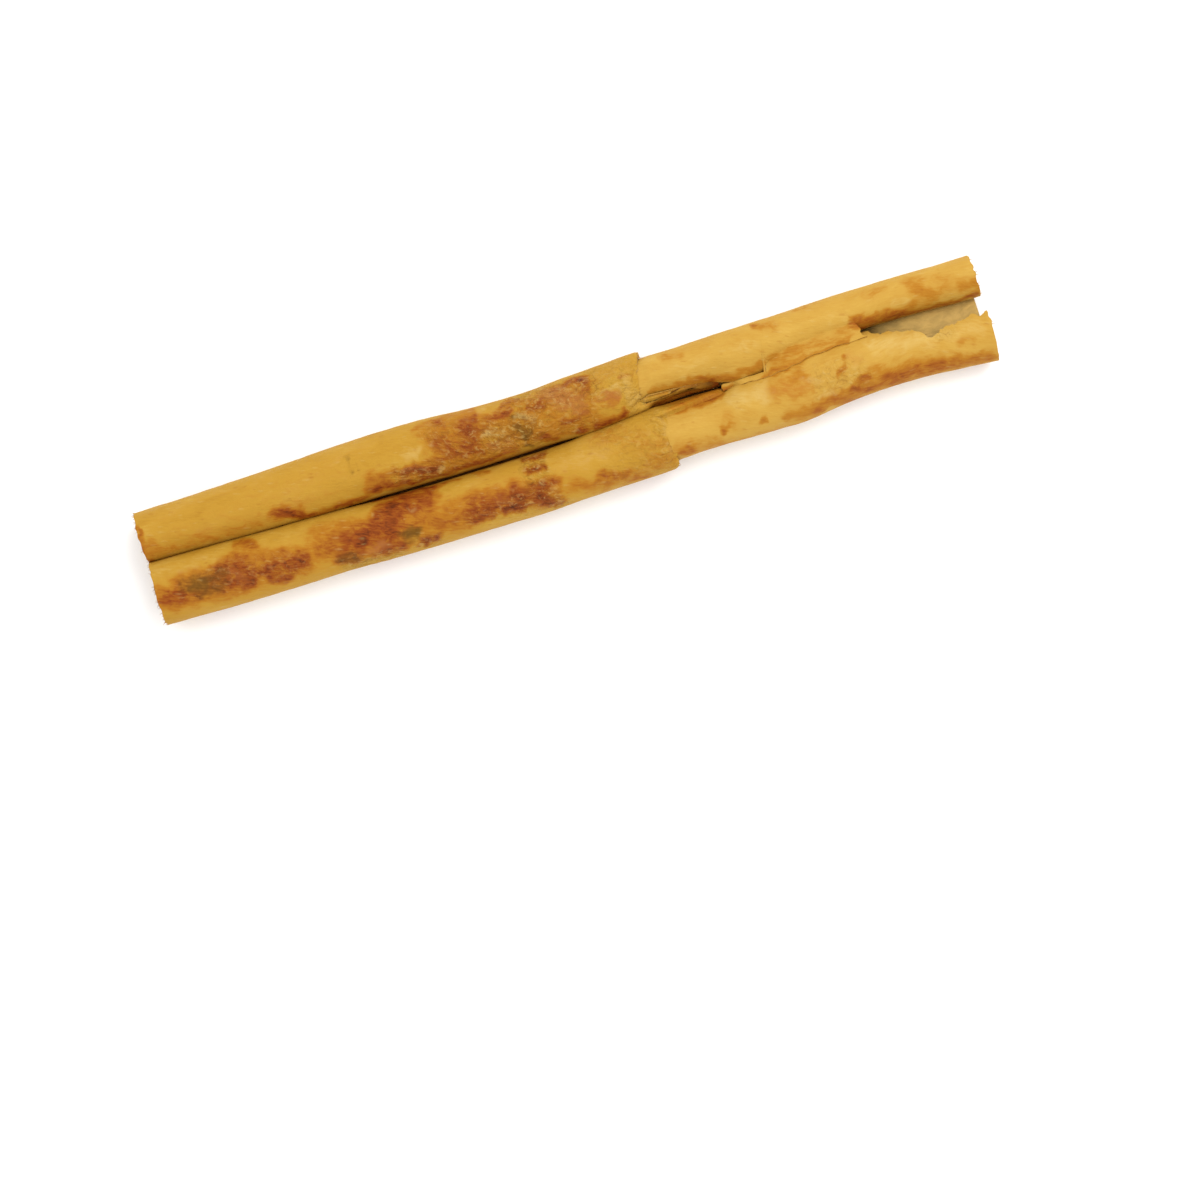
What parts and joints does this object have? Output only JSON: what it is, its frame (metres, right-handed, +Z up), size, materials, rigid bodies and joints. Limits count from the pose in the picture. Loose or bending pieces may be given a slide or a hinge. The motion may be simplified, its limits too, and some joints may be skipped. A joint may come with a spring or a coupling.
{
  "type": "cinnamon stick",
  "caption": "Dried quill of true cinnamon bark: a wide outer bark rolled round the left part of a longer, thinner inner bark, both curled inwards from their long edges to a seam.",
  "frame": {"origin": "centre of the stick's footprint, on the plane that it rests on", "axes": "+X along the stick from its thick, double end to its thin end, +Y across it towards the far roll, +Z up through the seam"},
  "size_m": [0.127, 0.0184, 0.0087],
  "materials": {
    "outer_bark": "dry matt bark, golden tan with red-brown and olive-grey blotches and fine lengthwise fibres",
    "inner_bark": "dry matt scraped bark, even golden yellow with fine lengthwise fibres"
  },
  "bodies": {
    "root": {"sleeve_bark": "outer_bark", "core_bark": "inner_bark"}
  },
  "joints": []
}
